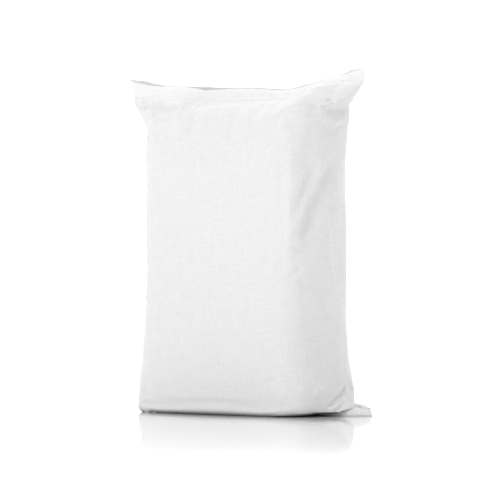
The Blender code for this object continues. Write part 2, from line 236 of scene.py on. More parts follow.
class StudioSettings(bpy.types.PropertyGroup):
    """The plain studio round the sack"""

    floor_colour: bpy.props.StringProperty(
        name="Floor colour", description="sRGB hex value of the floor", default="#F7F7F7"
    )
    # The grey of the painted contact shadow on the floor round the sack
    painted_shadow_colour: bpy.props.StringProperty(
        name="Shaded floor colour", description="sRGB hex value of the floor by the sack", default="#949494"
    )
    room_light: bpy.props.FloatProperty(
        name="Room light", description="Brightness of the room", default=0.72, min=0.0
    )
    ceiling_light: bpy.props.FloatProperty(
        name="Ceiling light", description="How much brighter the room is overhead", default=0.78, min=0.0
    )
    backdrop_light: bpy.props.FloatProperty(
        name="Backdrop light", description="Brightness behind the sack", default=1.40, min=0.0
    )
    key_power: bpy.props.FloatProperty(
        name="Key light", description="Power of the soft key light", default=20.0, unit="POWER"
    )
    rim_power: bpy.props.FloatProperty(
        name="Rim light", description="Power of the soft light behind the side", default=1.5, unit="POWER"
    )


def smooth(value, low, high):
    """0 below low, 1 above high, and an even S-curve between them."""
    t = np.clip((value - low) / (high - low), 0.0, 1.0)
    return t * t * (3 - 2 * t)


def mix(a, b, t):
    return a + (b - a) * t


def signed_power(value, exponent):
    return np.copysign(np.abs(value) ** exponent, value)


def path_at(points, t):
    """A point of a smooth path through points, for t from 0 to 1. Works for arrays of t."""
    points = np.array(points, float) * MM
    place = np.clip(t, 0, 1) * (len(points) - 1)
    first = np.minimum(place.astype(int), len(points) - 2)
    near = np.clip(first[..., None] + np.arange(-1, 3), 0, len(points) - 1)
    return np.einsum("...k,...kj->...j", cubic_weights(place - first, THROUGH), points[near])


def body_half_widths(z):
    """How far the filled body reaches to the left and to the right at a height."""
    left = LEFT_HALF_WIDTH + LEFT_SAG * (1 - np.clip(z / LEFT_SAG_HEIGHT, 0, 1)) ** 1.2
    right = RIGHT_HALF_WIDTH + RIGHT_SAG * (1 - smooth(z, -0.3 * RIGHT_SAG_HEIGHT, RIGHT_SAG_HEIGHT))
    right = right + RIGHT_FOOT * (1 - smooth(z, 15 * MM, 95 * MM))
    right = right + RIGHT_TOP * smooth(z, 360 * MM, 500 * MM)
    return left, right


def body_half_depth(z):
    return BODY_HALF_DEPTH + DEPTH_SAG * (1 - smooth(z, 0.1 * DEPTH_SAG_HEIGHT, DEPTH_SAG_HEIGHT))


def profile(x, points):
    """A smooth curve through points of position and value, in millimetres along x."""
    places, values = np.array(points, float).T
    t = np.interp(x / MM, places, np.arange(len(places)))
    first = np.minimum(t.astype(int), len(places) - 2)
    return mix(values[first], values[first + 1], smooth(t - first, 0.0, 1.0))


def stitch_rise(x):
    """How far the top stitch line lies above its middle: it is level there and steps up to each ear."""
    left = LEFT_RISE * smooth(-x, RISE_FROM, LEFT_RISE_TO)
    return left + RIGHT_RISE * smooth(x, RISE_FROM, RIGHT_RISE_TO) ** 1.1


def hem_stands(x):
    """How upright the bottom hem stands: 0 where the sack lies on it, 1 out on an ear."""
    return smooth(np.abs(x), HEM_STANDS_FROM, HEM_STANDS_AT)


def towards_tip(x):
    """How near to the tip of a bottom ear a point of its seam is."""
    return smooth(np.abs(x), BOTTOM_EAR_TIP - EAR_SHOULDER, BOTTOM_EAR_TIP)


def seam_height(x):
    """The height of the bottom seam, which lies in its groove under the sack and stands up in the ears."""
    return mix(GROOVE_DEPTH, mix(EAR_SEAM_HEIGHT, EAR_TIP_HEIGHT, towards_tip(x)), hem_stands(x))


def ear_back(x):
    """How far towards the back a bottom ear leaves the sack."""
    return EAR_BACK * smooth(np.abs(x), 0.75 * CURL_START, CURL_START)


def curl_ears(points):
    """Curls the bottom ears towards the back, round an upright axis beside the sack."""
    x, y, z = np.abs(points[..., 0]), points[..., 1], points[..., 2]
    reach = np.maximum(x - CURL_START, 0.0)
    radius = np.where(points[..., 0] < 0, EAR_BEND_LEFT, EAR_BEND_RIGHT)
    angle = reach / radius * (1 - smooth(z, CURL_HEIGHT, 3 * CURL_HEIGHT))
    safe = np.maximum(angle, TINY)
    curled_x = CURL_START + reach * np.sin(safe) / safe - y * np.sin(angle)
    curled_y = reach * (1 - np.cos(safe)) / safe + y * np.cos(angle)
    turned = np.stack((np.copysign(curled_x, points[..., 0]), curled_y, z), -1)
    return np.where((angle > TINY)[..., None], turned, points)


# What a ring round the tube is described by: how far it reaches to each side and to the front and back, how
# square it is, the heights of its middle and of its two creases, how far on the fabric from either crease
# the ring stays at the crease's height and where it has come to the middle's, how much of the stitch line's
# rise it has, and how far it lies from the bottom seam
RING = (
    "left", "right", "depth", "squareness", "centre",
    "left_crease", "right_crease", "left_near", "right_near", "left_far", "right_far", "rise", "from_seam",
)


def ring_table(count, **values):
    return np.stack([np.broadcast_to(values.get(name, 0.0), count) for name in RING], -1)


def bottom_rings(count):
    """Rings from the bottom seam over the floor and round the sack's bottom edge."""
    flat_depth = body_half_depth(0) - FLOOR_EDGE_RADIUS
    reach = np.linspace(GROOVE_HALF_WIDTH, flat_depth + 0.5 * math.pi * FLOOR_EDGE_RADIUS, count)
    angle = np.maximum(reach - flat_depth, 0) / FLOOR_EDGE_RADIUS
    along = np.linspace(0, 1, count)
    left, right = body_half_widths(0.0)
    crease = mix(EAR_TIP_HEIGHT, CREASE_FOOT_HEIGHT, 1 - (1 - along) ** 5)
    near = mix(SEAM_LEVELS[0], FOOT_LEVELS[0], along**0.5) * MM
    far = mix(SEAM_LEVELS[1], FOOT_LEVELS[1], along**0.5) * MM
    return ring_table(
        count,
        left=mix(left, BOTTOM_EAR_TIP, (1 - along) ** 4),
        right=mix(right, BOTTOM_EAR_TIP, (1 - along) ** 4),
        depth=np.minimum(reach, flat_depth) + FLOOR_EDGE_RADIUS * np.sin(angle),
        squareness=mix(SEAM_SQUARENESS, BODY_SQUARENESS, along),
        centre=FLOOR_EDGE_RADIUS * (1 - np.cos(angle)),
        left_crease=crease,
        right_crease=crease,
        left_near=near,
        right_near=near,
        left_far=far,
        right_far=far,
        from_seam=reach - GROOVE_HALF_WIDTH,
    )


def wall_rings(count):
    """Rings up the filled middle. They start higher at the creases and level out further up."""
    t = np.linspace(0, 1, count + 1)[1:]
    centre = mix(FLOOR_EDGE_RADIUS, SHOULDER_HEIGHT, t)
    left, right = body_half_widths(centre)
    return ring_table(
        count,
        left=left,
        right=right,
        depth=body_half_depth(centre),
        squareness=BODY_SQUARENESS,
        centre=centre,
        left_crease=mix(CREASE_FOOT_HEIGHT, LEFT_EAR[0][1] * MM, t),
        right_crease=mix(CREASE_FOOT_HEIGHT, RIGHT_EAR[0][1] * MM, t),
        left_near=mix(FOOT_LEVELS[0], LEFT_SHOULDER_LEVELS[0], t**3) * MM,
        right_near=mix(FOOT_LEVELS[0], RIGHT_SHOULDER_LEVELS[0], t**3) * MM,
        left_far=mix(FOOT_LEVELS[1], LEFT_SHOULDER_LEVELS[1], t) * MM,
        right_far=mix(FOOT_LEVELS[1], RIGHT_SHOULDER_LEVELS[1], t) * MM,
        from_seam=BODY_HALF_DEPTH + centre,
    )


def shoulder_rings(count):
    """Rings from the shoulder up to the top stitch line, where the tube is pressed flat."""
    t = np.linspace(0, 1, count + 1)[1:]
    left, left_crease = path_at(LEFT_EAR, t).T
    right, right_crease = path_at(RIGHT_EAR, t).T
    closing = np.maximum(np.cos(0.5 * math.pi * t), 0.0) ** 0.8
    return ring_table(
        count,
        left=left,
        right=right,
        depth=mix(TOP_HALF_THICKNESS, BODY_HALF_DEPTH, closing),
        squareness=mix(BODY_SQUARENESS, SEAM_SQUARENESS, t),
        centre=mix(SHOULDER_HEIGHT, TOP_STITCH_HEIGHT, np.sin(0.5 * math.pi * t) ** 0.9),
        left_crease=left_crease,
        right_crease=right_crease,
        left_near=mix(LEFT_SHOULDER_LEVELS[0], LEFT_STITCH_LEVELS[0], t) * MM,
        right_near=mix(RIGHT_SHOULDER_LEVELS[0], RIGHT_STITCH_LEVELS[0], t) * MM,
        left_far=mix(LEFT_SHOULDER_LEVELS[1], LEFT_STITCH_LEVELS[1], t) * MM,
        right_far=mix(RIGHT_SHOULDER_LEVELS[1], RIGHT_STITCH_LEVELS[1], t) * MM,
        from_seam=BODY_HALF_DEPTH + SHOULDER_HEIGHT,
        rise=t**0.7,
    )


def tube_rings():
    """The whole tube as rings, with each one's distance up the front, measured on the fabric."""
    rings = np.concatenate((bottom_rings(120), wall_rings(160), shoulder_rings(120)))
    depth, centre = rings[:, RING.index("depth")], rings[:, RING.index("centre")]
    return rings, np.concatenate(([0.0], np.cumsum(np.hypot(np.diff(depth), np.diff(centre)))))


def crease_drift(z):
    """How far the right crease has wandered towards the back at a height."""
    heights, drift = np.array(CREASE_DRIFT).T * MM
    return np.interp(z, heights, drift)


def ring_points(ring, turn, inset=0.0):
    """Points round one ring, evenly spaced on the fabric: the left crease is at turn 0, the right at 1."""
    r = dict(zip(RING, ring))
    angle = np.linspace(math.pi, 3 * math.pi, 1441)
    unit_x = signed_power(np.cos(angle), 2 / r["squareness"])
    x = unit_x * (np.where(unit_x < 0, r["left"], r["right"]) - 2 * inset)
    y = signed_power(np.sin(angle), 2 / r["squareness"]) * max(r["depth"] - inset, MM)
    along = np.concatenate(([0.0], np.cumsum(np.hypot(np.diff(x), np.diff(y)))))
    half = 0.5 * along[-1]
    from_left = np.minimum(turn, 2 - turn)
    drift = crease_drift(r["centre"]) * smooth(r["depth"], 0.2 * BODY_HALF_DEPTH, 0.9 * BODY_HALF_DEPTH)
    wanted = np.mod(turn + drift / half * smooth(from_left, 0.35, 0.9), 2.0) * half
    x, y = np.interp(wanted, along, x), np.interp(wanted, along, y)
    from_crease = np.minimum(from_left, 1 - from_left) * half
    to_left = from_left < 0.5
    crease = np.where(to_left, r["left_crease"], r["right_crease"])
    near = np.where(to_left, r["left_near"], r["right_near"])
    far = np.where(to_left, r["left_far"], r["right_far"])
    middle = r["centre"] + stitch_rise(x) * r["rise"]
    z = mix(crease, middle, smooth(from_crease, near, far))
    lift_start = mix(
        SIDE_LIFT_START, CORNER_LIFT_START, smooth(np.abs(y), 0.5 * BODY_HALF_DEPTH, 0.95 * BODY_HALF_DEPTH)
    )
    corner_lift = np.where(x < 0, LEFT_CORNER_LIFT, RIGHT_CORNER_LIFT)
    z += corner_lift * smooth(np.abs(x), lift_start, LEFT_HALF_WIDTH) * (1 - smooth(z, *CORNER_LIFT_FADES))
    beside_seam = 1 - smooth(r["from_seam"], *HELD_BESIDE_SEAM)
    z = np.maximum(z, (seam_height(x) - GROOVE_DEPTH) * beside_seam)
    if r["centre"] < CURL_HEIGHT:
        y = y + ear_back(x) * (1 - smooth(r["depth"], 0.15 * BODY_HALF_DEPTH, 0.85 * BODY_HALF_DEPTH))
    return np.stack((x, y, z), -1)


def start_grid(row_step, columns):
    """The tube before it is draped, as points[row, column]. Its columns are evenly spaced on the fabric."""
    rings, lengths = tube_rings()
    rows = np.linspace(0, lengths[-1], round(lengths[-1] / row_step) + 1)
    chosen = np.stack([np.interp(rows, lengths, rings[:, k]) for k in range(len(RING))], -1)
    turn = np.arange(2 * columns) / columns
    points = np.stack([ring_points(ring, turn) for ring in chosen])
    points[0, :, 2] = seam_height(points[0, :, 0])
    points[-1, :, 2] = TOP_STITCH_HEIGHT + stitch_rise(points[-1, :, 0])
    return points, rows


def cubic_weights(t, kernel):
    powers = np.stack((np.ones_like(t), t, t * t, t**3), -1)
    return powers @ np.array(kernel)


# Cubic interpolation that passes through its points, and one that only comes near them and is smoother
THROUGH = ((0, 1, 0, 0), (-0.5, 0, 0.5, 0), (1, -2.5, 2, -0.5), (-0.5, 1.5, -1.5, 0.5))
NEAR = ((1 / 6, 4 / 6, 1 / 6, 0), (-0.5, 0, 0.5, 0), (0.5, -1, 0.5, 0), (-1 / 6, 0.5, -0.5, 1 / 6))


def sample_grid(grid, rows, columns, kernel):
    """The grid's values at fractional rows and columns. Columns wrap round the tube."""
    row, column = np.floor(rows).astype(int), np.floor(columns).astype(int)
    row_weights = cubic_weights(rows - row, kernel)
    column_weights = cubic_weights(columns - column, kernel)
    near = np.arange(-1, 3)
    row = np.clip(row[:, None] + near, 0, grid.shape[0] - 1)
    column = np.mod(column[:, None] + near, grid.shape[1])
    patch = grid[row[:, None, :, None], column[None, :, None, :]]
    return np.einsum("nmabk,na,mb->nmk", patch, row_weights, column_weights)


def slack_map(grid):
    """How loose the fabric is at each point, from 0, taut over the powder, to 1, as loose as it gets."""
    x, z = grid[..., 0], grid[..., 2]
    below_hem = smooth(z, 0.36, 0.50) * (1 - smooth(z, 0.555, 0.57))
    near_side = smooth(np.abs(x), 0.72 * LEFT_HALF_WIDTH, 0.98 * LEFT_HALF_WIDTH)
    corners = near_side * (smooth(z, 0.30, 0.45) + (1 - smooth(z, 0.05, 0.16)))
    return np.clip(0.10 + 0.35 * below_hem + 0.15 * near_side + 0.40 * corners, 0, 1)


def powder_core():
    """The powder as a closed solid that the fabric rests on: inside the sack, and more so higher up."""
    rings, _ = tube_rings()
    turn = np.linspace(0, 2, 97)[:-1]
    rows = []
    for ring in rings[np.linspace(105, 350, 60).astype(int)]:
        centre = ring[RING.index("centre")]
        rows.append(ring_points(ring, turn, mix(2.5 * MM, 8 * MM, smooth(centre, 0.40, 0.56))))
    faces = grid_faces(len(rows), len(turn))
    faces.append(list(range(len(turn)))[::-1])
    faces.append([(len(rows) - 1) * len(turn) + k for k in range(len(turn))])
    core = mesh_object("powder_core", np.concatenate(rows), faces)
    core.modifiers.new("collision", "COLLISION")
    core.collision.thickness_outer = 1 * MM
    core.collision.cloth_friction = 8
    return core


def drape(grid):
    """Lets the tube settle as cloth over the powder. Its seams and its underside are held."""
    rows, columns = grid.shape[:2]
    cloth = mesh_object("draping_tube", grid.reshape(-1, 3), grid_faces(rows, columns))
    core = powder_core()
    held = cloth.vertex_groups.new(name="held")
    slack = cloth.vertex_groups.new(name="slack")
    looseness = slack_map(grid).ravel()
    height = grid[..., 2].ravel()
    inside = np.abs(grid[..., 0].ravel()) < HEM_STANDS_FROM
    for k in range(rows * columns):
        row = k // columns
        if row in (0, 1, rows - 1) or (inside[k] and height[k] < 4 * MM):
            held.add([k], 1.0, "REPLACE")
        slack.add([k], float(looseness[k]), "REPLACE")
    modifier = cloth.modifiers.new("drape", "CLOTH")
    fabric = modifier.settings
    fabric.quality = 6
    fabric.mass = 0.02
    fabric.tension_stiffness = 30
    fabric.compression_stiffness = 30
    fabric.shear_stiffness = 12
    fabric.bending_stiffness = 1.2
    fabric.air_damping = 2
    fabric.vertex_group_mass = "held"
    fabric.vertex_group_shrink = "slack"
    fabric.shrink_min = 0.0
    fabric.shrink_max = -SLACK_SHARE
    fabric.use_pressure = True
    fabric.uniform_pressure_force = DRAPE_PRESSURE
    fabric.effector_weights.gravity = 0.3
    modifier.collision_settings.distance_min = 1 * MM
    modifier.collision_settings.use_self_collision = False
    modifier.point_cache.frame_end = DRAPE_FRAMES
    scene = bpy.context.scene
    for frame in range(1, DRAPE_FRAMES + 1):
        scene.frame_set(frame)
    settled = cloth.evaluated_get(bpy.context.evaluated_depsgraph_get()).to_mesh()
    points = np.empty(rows * columns * 3)
    settled.vertices.foreach_get("co", points)
    scene.frame_set(1)
    for helper in (cloth, core):
        data = helper.data
        bpy.data.objects.remove(helper)
        bpy.data.meshes.remove(data)
    moved = points.reshape(grid.shape) - grid
    far = np.linalg.norm(moved, axis=-1, keepdims=True)
    return grid + moved * np.minimum(1, DRAPE_LIMIT / np.maximum(far, TINY))


def fine_turns():
    """The finished tube's columns: even across each panel, and closer beside the creases."""
    panel = list(np.arange(FINE_COLUMNS) / FINE_COLUMNS)
    beside = [share / FINE_COLUMNS for share in CREASE_COLUMNS]
    panel += beside + [1 - share for share in beside]
    panel = np.sort(np.array(panel))
    return np.concatenate((panel, panel + 1))


def grid_faces(rows, columns):
    """Quads that join each row of a tube to the next, counted so that they face outwards."""
    row, column = np.meshgrid(np.arange(rows - 1), np.arange(columns), indexing="ij")
    right = (column + 1) % columns
    low, high = row * columns, (row + 1) * columns
    return np.stack((low + column, low + right, high + right, high + column), -1).reshape(-1, 4).tolist()


def mesh_object(name, points, faces):
    data = bpy.data.meshes.new(name)
    data.from_pydata([tuple(p) for p in points], [], faces)
    data.validate()
    piece = bpy.data.objects.new(name, data)
    bpy.context.scene.collection.objects.link(piece)
    return piece


def add_node(tree, kind, inputs=None, **settings):
    """Adds a node with its settings and inputs. An input that is a node is linked to its first output."""
    node = tree.nodes.new(kind)
    for name, value in settings.items():
        setattr(node, name, value)
    for socket, value in (inputs or {}).items():
        if isinstance(value, bpy.types.Node):
            value = value.outputs[0]
        if isinstance(value, bpy.types.NodeSocket):
            tree.links.new(value, node.inputs[socket])
        else:
            node.inputs[socket].default_value = value
    return node


def linear(hex_value):
    """The linear colour of an sRGB hex value."""
    parts = [int(hex_value[k : k + 2], 16) / 255 for k in (1, 3, 5)]
    return [p / 12.92 if p <= 0.04045 else ((p + 0.055) / 1.055) ** 2.4 for p in parts] + [1.0]


def new_material(name):
    material = bpy.data.materials.new(name)
    material.use_nodes = True
    return material, material.node_tree, material.node_tree.nodes["Principled BSDF"]


def woven_polypropylene(weave, flat_width, seams):
    """Woven polypropylene tape fabric: flat tapes, slit from stretched film, in a plain weave. It gives a
    white satin face, on which single tapes are a shade lighter or darker than their neighbours. The seams
    are the places on the map of the bottom seam, the top one and the top lips' cut edge."""
    material, tree, shader = new_material("woven_polypropylene_tape")
    place = add_node(tree, "ShaderNodeUVMap", uv_map=MAP_NAME)
    per_tape = MAP_SPAN / weave.tape_pitch
    tapes = add_node(tree, "ShaderNodeVectorMath", {0: place, "Scale": per_tape}, operation="SCALE")
    index = add_node(tree, "ShaderNodeVectorMath", {0: tapes}, operation="FLOOR")
    within = add_node(tree, "ShaderNodeVectorMath", {0: tapes}, operation="FRACTION")
    number = add_node(tree, "ShaderNodeSeparateXYZ", {0: index})
    share = add_node(tree, "ShaderNodeSeparateXYZ", {0: within})
    # Warp and weft take turns on top. Each tape bulges in the middle of a crossing and dives at its ends,
    # and it keeps its shade over a few crossings
    both = add_node(
        tree, "ShaderNodeMath", {0: number.outputs["X"], 1: number.outputs["Y"]}, operation="ADD"
    )
    warp_on_top = add_node(tree, "ShaderNodeMath", {0: both, 1: 2.0}, operation="FLOORED_MODULO")
    heights = []
    tones = []
    for axis, other, offset in (("X", "Y", 0.0), ("Y", "X", 4000.0)):
        aside = add_node(tree, "ShaderNodeMath", {0: share.outputs[axis], 1: 0.5}, operation="SUBTRACT")
        ahead = add_node(tree, "ShaderNodeMath", {0: share.outputs[other], 1: 0.5}, operation="SUBTRACT")
        aside = add_node(tree, "ShaderNodeMath", {0: aside, 1: 6.0}, operation="POWER")
        edge = add_node(tree, "ShaderNodeMath", {0: aside, 1: -64.0, 2: 1.0}, operation="MULTIPLY_ADD")
        ahead = add_node(tree, "ShaderNodeMath", {0: ahead, 1: 2.0}, operation="POWER")
        arch = add_node(tree, "ShaderNodeMath", {0: ahead, 1: -2.0, 2: 1.0}, operation="MULTIPLY_ADD")
        height = add_node(tree, "ShaderNodeMath", {0: edge, 1: arch}, operation="MULTIPLY")
        heights.append(height.outputs[0])
        tape = add_node(tree, "ShaderNodeMath", {0: number.outputs[axis], 1: offset}, operation="ADD")
        length = {0: number.outputs[other], 1: 1 / weave.even_length}
        length = add_node(tree, "ShaderNodeMath", length, operation="MULTIPLY")
        length = add_node(tree, "ShaderNodeMath", {0: length}, operation="FLOOR")
        stretch = add_node(tree, "ShaderNodeCombineXYZ", {"X": tape, "Y": length})
        tone = add_node(tree, "ShaderNodeTexWhiteNoise", {"Vector": stretch}, noise_dimensions="2D")
        tones.append(tone.outputs["Value"])
    height = add_node(tree, "ShaderNodeMix", {"Factor": warp_on_top, "A": heights[1], "B": heights[0]})
    tone = add_node(tree, "ShaderNodeMix", {"Factor": warp_on_top, "A": tones[1], "B": tones[0]})
    # The tape's shade, the dark beside its edges, and the painted sheen: the weft is painted darker than the
    # warp, as if it caught less light
    lightness = add_node(tree, "ShaderNodeMapRange", {"Value": tone, "To Min": TAPE_SHADE, "To Max": 1.0})
    gap = add_node(tree, "ShaderNodeMapRange", {"Value": height, "To Min": GAP_SHADE, "To Max": 1.0})
    painted_sheen = add_node(
        tree, "ShaderNodeMapRange", {"Value": warp_on_top, "To Min": WEFT_PAINTED_SHEEN, "To Max": 1.0}
    )
    # A painted highlight along the right crease, as its raised ridge would catch the light, over the height
    # where it shows
    on_map = add_node(tree, "ShaderNodeSeparateXYZ", {0: place})
    crease_place = (flat_width + MAP_MARGIN) / MAP_SPAN
    aside = {0: on_map.outputs["X"], 1: crease_place}
    aside = add_node(tree, "ShaderNodeMath", aside, operation="SUBTRACT")
    aside = add_node(tree, "ShaderNodeMath", {0: aside}, operation="ABSOLUTE")
    half_width = HIGHLIGHT_HALF_WIDTH / MAP_SPAN
    crease_highlight = add_node(
        tree,
        "ShaderNodeMapRange",
        {"Value": aside, "From Min": 0.0, "From Max": half_width, "To Min": CREASE_HIGHLIGHT, "To Max": 1.0},
        interpolation_type="SMOOTHSTEP",
    )
    # Ramps up the map: where the crease's painted highlight comes and goes, and the hems, which are made
    # whiter, partly as no grey powder shows through the empty fabric there and partly as painted light on the
    # top hem, which faces up
    ramps = []
    for low, high, at_low, at_high in (
        (*CREASE_ENDS, 1.0, 0.0),
        (*CREASE_STARTS, 0.0, 1.0),
        (seams[0], seams[0] + BOTTOM_HEM_FADES, 1.0, 0.0),
        (seams[1] - TOP_HEM_FADES, seams[1], 0.0, 1.0),
    ):
        ramp = {"From Min": low, "From Max": high, "To Min": at_low, "To Max": at_high}
        ramps.append(add_node(tree, "ShaderNodeMapRange", {"Value": on_map.outputs["Y"], **ramp}))
    highlight_span = add_node(tree, "ShaderNodeMath", {0: ramps[0], 1: ramps[1]}, operation="MULTIPLY")
    # The crease's painted highlight, only over its span up the side
    crease_highlight = add_node(tree, "ShaderNodeMix", {"Factor": highlight_span, "A": 1.0, "B": crease_highlight})
    # The hems' whitening: partly their empty fabric's own colour, partly painted light
    empty = add_node(tree, "ShaderNodeMath", {0: ramps[2], 1: ramps[3]}, operation="MAXIMUM")
    empty = add_node(tree, "ShaderNodeMapRange", {"Value": empty, "To Min": 1.0, "To Max": EMPTY_AND_LIT_WHITE})
    # Painted shade greys the inside of the top lips, above their cut edges
    inside = {0: on_map.outputs["Y"], 1: seams[2]}
    inside = add_node(tree, "ShaderNodeMath", inside, operation="GREATER_THAN")
    inside = add_node(tree, "ShaderNodeMapRange", {"Value": inside, "To Min": 1.0, "To Max": INSIDE_PAINTED_SHADE})
    shade = lightness
    for factor in (gap, painted_sheen, crease_highlight, empty, inside):
        shade = add_node(tree, "ShaderNodeMath", {0: shade, 1: factor}, operation="MULTIPLY")
    colour = add_node(
        tree,
        "ShaderNodeMix",
        {"Factor": 1.0, "A": linear(weave.fabric_colour), "B": shade},
        data_type="RGBA",
        blend_type="MULTIPLY",
    )
    bump = add_node(tree, "ShaderNodeBump", {"Strength": 0.5, "Distance": TAPE_RELIEF, "Height": height})
    tree.links.new(colour.outputs["Result"], shader.inputs["Base Color"])
    tree.links.new(bump.outputs["Normal"], shader.inputs["Normal"])
    shader.inputs["Roughness"].default_value = 0.46
    shader.inputs["IOR"].default_value = 1.49
    return material


def polyester_thread(weave):
    """Polyester sewing thread, spun from short fibres: a dull white line beside the satin fabric."""
    material, _, shader = new_material("polyester_sewing_thread")
    shader.inputs["Base Color"].default_value = linear(weave.thread_colour)
    shader.inputs["Roughness"].default_value = 0.6
    shader.inputs["IOR"].default_value = 1.55
    return material


def lip_rows(stitch_row):
    """Up the outside of both top lips, over their cut edges and down between them to the stitching."""
    x, side = stitch_row[:, 0], np.sign(stitch_row[:, 1])
    reach = np.abs(x).max()
    shut = 1 - np.clip(np.abs(x) / reach, 0, 1) ** 12
    step = 0.5 * side * profile(x, LIP_STEPS) * MM * shut
    width = profile(x, HEM_WIDTHS) * MM + step
    gap = profile(x, LIP_GAPS) * MM * shut
    lean = np.radians(profile(x, HEM_LEANS))
    flare = np.where(x < 0, LEFT_FLARE, RIGHT_FLARE) * smooth(np.abs(x), 0.86 * reach, reach)
    steps = [(0.12 * k, 0) for k in range(1, 8)] + [(0.92, 0), (0.98, 0), (1.0, 0.5), (0.98, 1), (0.92, 1)]
    steps += [(0.12 * k, 1) for k in range(7, 0, -1)]
    rows = []
    for up, inward in steps:
        apart = np.abs(stitch_row[:, 1]) + 0.5 * gap * (0.35 * up + 0.65 * up**2.5)
        apart = apart + LIP_BULGE * math.sin(math.pi * up)
        apart = side * np.maximum(apart - LIP_THICKNESS * inward, 0.12 * MM)
        bend = lean * (0.55 + 0.45 * up)
        rise = width * up
        y = rise * np.sin(bend) + apart * np.cos(bend)
        z = stitch_row[:, 2] + rise * np.cos(bend) - apart * np.sin(bend)
        out = flare * up**1.4
        out = out - LIP_THICKNESS * inward * (1 - shut)
        rows.append(np.stack((x + out * np.sign(x), y, z), -1))
    return rows


def bottom_hem_rows(seam_row):
    """Up both faces of the bottom hem to its seam. Under the sack the hem is pressed into the groove."""
    x, middle = seam_row[:, 0], ear_back(seam_row[:, 0])
    stands = hem_stands(x)
    rows = []
    for up, in_groove in ((0.0, 0.35), (0.25, 0.4), (0.5, 0.5), (0.75, 0.75)):
        height = mix(GROOVE_DEPTH, seam_row[:, 2] * up, stands)
        y = middle + (seam_row[:, 1] - middle) * mix(in_groove, mix(0.75, 1.0, up), stands)
        y = y - HEM_FLARE * (1 - up) * stands
        rows.append(np.stack((x, y, height), -1))
    return rows


def sewn_thread(name, row, stitch_length):
    """A closed thread round a seam. It lies on the fabric over most of each stitch and dips in between."""
    loop = np.concatenate((row, row[:1]))
    lengths = np.concatenate(([0.0], np.cumsum(np.linalg.norm(np.diff(loop, axis=0), axis=1))))
    stitches = round(lengths[-1] / stitch_length)
    steps = np.arange(STITCH_RINGS * stitches) / (STITCH_RINGS * stitches)
    line = np.stack([np.interp(steps * lengths[-1], lengths, loop[:, k]) for k in range(3)], -1)
    along = np.roll(line, -2, 0) - np.roll(line, 2, 0)
    along /= np.maximum(np.linalg.norm(along, axis=-1, keepdims=True), TINY)
    out = np.stack((along[:, 1], -along[:, 0], np.zeros(len(along))), -1)
    up = np.cross(out, along)
    lift = THREAD_LIFT * (1 - 2 * smooth(np.abs(np.mod(steps * stitches, 1) - 0.5), 0.22, 0.45)) + 0.2 * MM
    middle = line + out * lift[:, None]
    rings = []
    for k in range(THREAD_SIDES):
        angle = math.tau * k / THREAD_SIDES
        rings.append(middle + THREAD_RADIUS * (out * math.cos(angle) - up * math.sin(angle)))
    points = np.stack(rings, 1)
    points[..., 2] = np.maximum(points[..., 2], 0.05 * MM)
    faces = []
    for i in range(len(line)):
        here, ahead = i * THREAD_SIDES, (i + 1) % len(line) * THREAD_SIDES
        for k in range(THREAD_SIDES):
            beside = (k + 1) % THREAD_SIDES
            faces.append([here + k, here + beside, ahead + beside, ahead + k])
    piece = mesh_object(name, points.reshape(-1, 3), faces)
    piece.data.shade_smooth()
    return piece


def close_slit(columns, first):
    """Faces that join each front vertex of a flattened row to the back vertex across from it."""
    half = columns // 2
    faces = []
    for i in range(half):
        quad = [first + i, first + i + 1, first + columns - i - 1, first + (columns - i) % columns]
        faces.append(list(dict.fromkeys(quad)))
    return faces


def outward(grid):
    """The outward direction at each point of a tube's grid."""
    across = np.roll(grid, -1, 1) - np.roll(grid, 1, 1)
    up = np.gradient(grid, axis=0)
    normal = np.cross(across, up)
    return normal / np.maximum(np.linalg.norm(normal, axis=-1, keepdims=True), TINY)


def ripple(shape_rows, turns, cells, seed):
    """A smooth random field over the tube, about -1 to 1. Cells count the field's waves up and round it."""
    values = np.random.default_rng(seed).normal(size=(cells[0] + 3, cells[1]))
    field = sample_grid(values[..., None], shape_rows * cells[0] + 1, turns * cells[1] / 2, NEAR)
    return 1.6 * field[..., 0]


def stroke(grid, normal, path, valley, ridge, ends):
    """How far one fold moves each point of the grid outwards, in metres. The fold's floor runs along path.
    Valley is its depth and half width, and ridge the height, the distance and the half width of the roll
    beside it, which lies to the right of the path's direction, seen from outside. All are in millimetres.
    Ends are the shares of the path over which it comes and goes."""
    t = np.linspace(0, 1, 60)
    line = path_at(path, t)
    direction = np.gradient(line, axis=0)
    reach = (abs(ridge[1]) + 2 * ridge[2] + 2 * valley[1] + 5) * MM
    near = np.all((grid > line.min(0) - reach) & (grid < line.max(0) + reach), axis=-1)
    points, outwards = grid[near], normal[near]
    apart = points[:, None] - line[None]
    nearest = np.argmin(np.einsum("nmk,nmk->nm", apart, apart), axis=1)
    apart = apart[np.arange(len(points)), nearest]
    beside = np.cross(direction[nearest], outwards)
    beside /= np.maximum(np.linalg.norm(beside, axis=-1, keepdims=True), TINY)
    side = np.einsum("nk,nk->n", apart, beside) / MM
    above = np.einsum("nk,nk->n", apart, outwards) / MM
    beyond = np.sqrt(np.maximum(np.einsum("nk,nk->n", apart, apart) / MM**2 - side**2 - above**2, 0))
    share = smooth(t[nearest], -0.01, ends[0]) * (1 - smooth(t[nearest], 1 - ends[1], 1.01))
    fade = share * np.exp(-((beyond / (2 * valley[1] + 4)) ** 2))
    shape = ridge[0] * np.exp(-(((side - ridge[1]) / ridge[2]) ** 2))
    shape = shape - valley[0] * np.exp(-((side / valley[1]) ** 2))
    moved = np.zeros(grid.shape[:2])
    moved[near] = shape * fade * MM
    return moved


